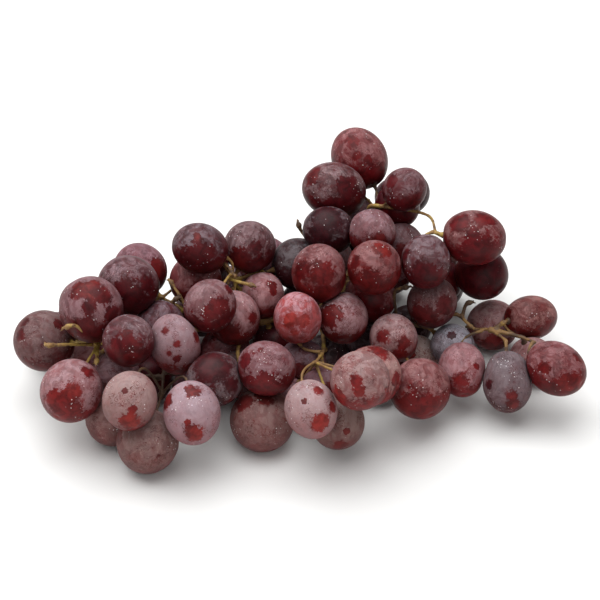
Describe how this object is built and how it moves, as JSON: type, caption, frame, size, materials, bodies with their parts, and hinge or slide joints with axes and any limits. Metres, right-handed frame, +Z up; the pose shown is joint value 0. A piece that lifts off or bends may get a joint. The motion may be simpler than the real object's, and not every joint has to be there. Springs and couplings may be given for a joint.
{
  "type": "bunch of grapes",
  "caption": "Large-berried red table grapes on a branching stem, pressed together in a loose cluster that lies on its side, with bare stubs and gaps between the berries.",
  "frame": {"origin": "centre of the bunch's box, at the table surface it lies on", "axes": "+Z up from the table, +X along the bunch from its left tip to its right tip, -Y towards the side that shows best"},
  "size_m": [0.2388, 0.1612, 0.0821],
  "materials": {
    "berry_skin": "deep red skin under a patchy grey-pink wax bloom, shiny where the bloom is rubbed off",
    "stem": "yellow-green to tan brown, dry, with small warts"
  },
  "bodies": {
    "root": {"stem": "stem", "berries_left_tip": "berry_skin", "berries_left_front": "berry_skin", "berries_left_back": "berry_skin", "berries_middle_back": "berry_skin", "berries_middle_front": "berry_skin", "berries_centre_front": "berry_skin", "berries_centre_top": "berry_skin", "berries_top": "berry_skin", "berries_right_shoulder": "berry_skin", "berries_right_front": "berry_skin", "berries_right_tip": "berry_skin"}
  },
  "joints": []
}
